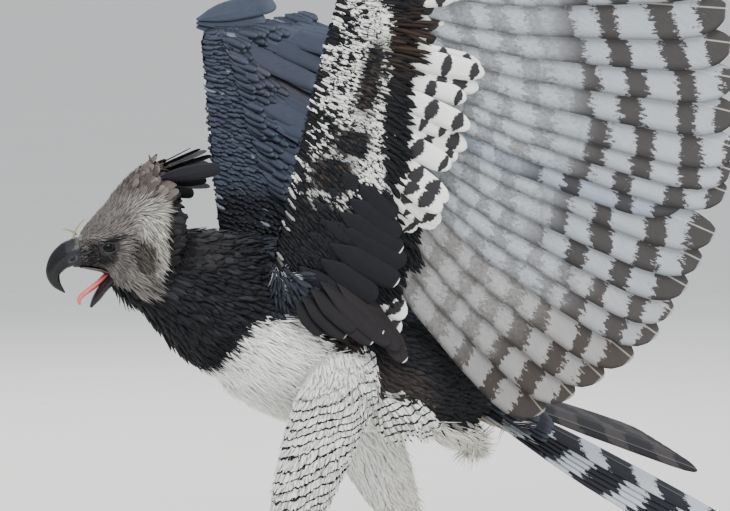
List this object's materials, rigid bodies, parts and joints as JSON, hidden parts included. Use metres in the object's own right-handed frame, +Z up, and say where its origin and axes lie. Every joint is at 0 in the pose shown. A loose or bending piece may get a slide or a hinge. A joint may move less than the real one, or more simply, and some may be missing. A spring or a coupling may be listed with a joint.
{
  "type": "harpy eagle",
  "caption": "Life-size harpy eagle standing in mid stride with both wings raised, bill open and crest up, for display scenes.",
  "frame": {"origin": "on the floor, under the middle of the bird's bounding box", "axes": "+Z up, the bird faces -X, its left side is -Y"},
  "size_m": [0.8936, 0.7142, 1.1826],
  "materials": {
    "dark_feather": "soft slate-black plumage",
    "wing_feather": "barred grey and white plumage",
    "ash_feather": "soft ash-grey plumage",
    "pale_feather": "downy white plumage with fine dark bars",
    "horn": "polished black horn",
    "foot_skin": "scaled yellow skin",
    "tongue": "moist pink flesh",
    "eye": "dark glossy eye"
  },
  "bodies": {
    "root": {"torso": "dark_feather", "neck": "dark_feather", "head": "ash_feather", "eye_left": "eye", "eye_right": "eye", "crest": "dark_feather", "bill_upper": "horn", "bill_lower": "horn", "tongue": "tongue", "tail": "dark_feather", "thigh_left": "pale_feather", "tarsus_left": "foot_skin", "toe_inner_left": "foot_skin", "claw_inner_left": "horn", "toe_middle_left": "foot_skin", "claw_middle_left": "horn", "toe_outer_left": "foot_skin", "claw_outer_left": "horn", "toe_hind_left": "foot_skin", "claw_hind_left": "horn", "wing_left_upper_arm": "wing_feather", "wing_left_forearm": "wing_feather", "wing_left_hand": "wing_feather", "wing_left_alula": "wing_feather", "thigh_right": "pale_feather", "tarsus_right": "foot_skin", "toe_inner_right": "foot_skin", "claw_inner_right": "horn", "toe_middle_right": "foot_skin", "claw_middle_right": "horn", "toe_outer_right": "foot_skin", "claw_outer_right": "horn", "toe_hind_right": "foot_skin", "claw_hind_right": "horn", "wing_right_upper_arm": "wing_feather", "wing_right_forearm": "wing_feather", "wing_right_hand": "wing_feather", "wing_right_alula": "wing_feather"}
  },
  "joints": []
}
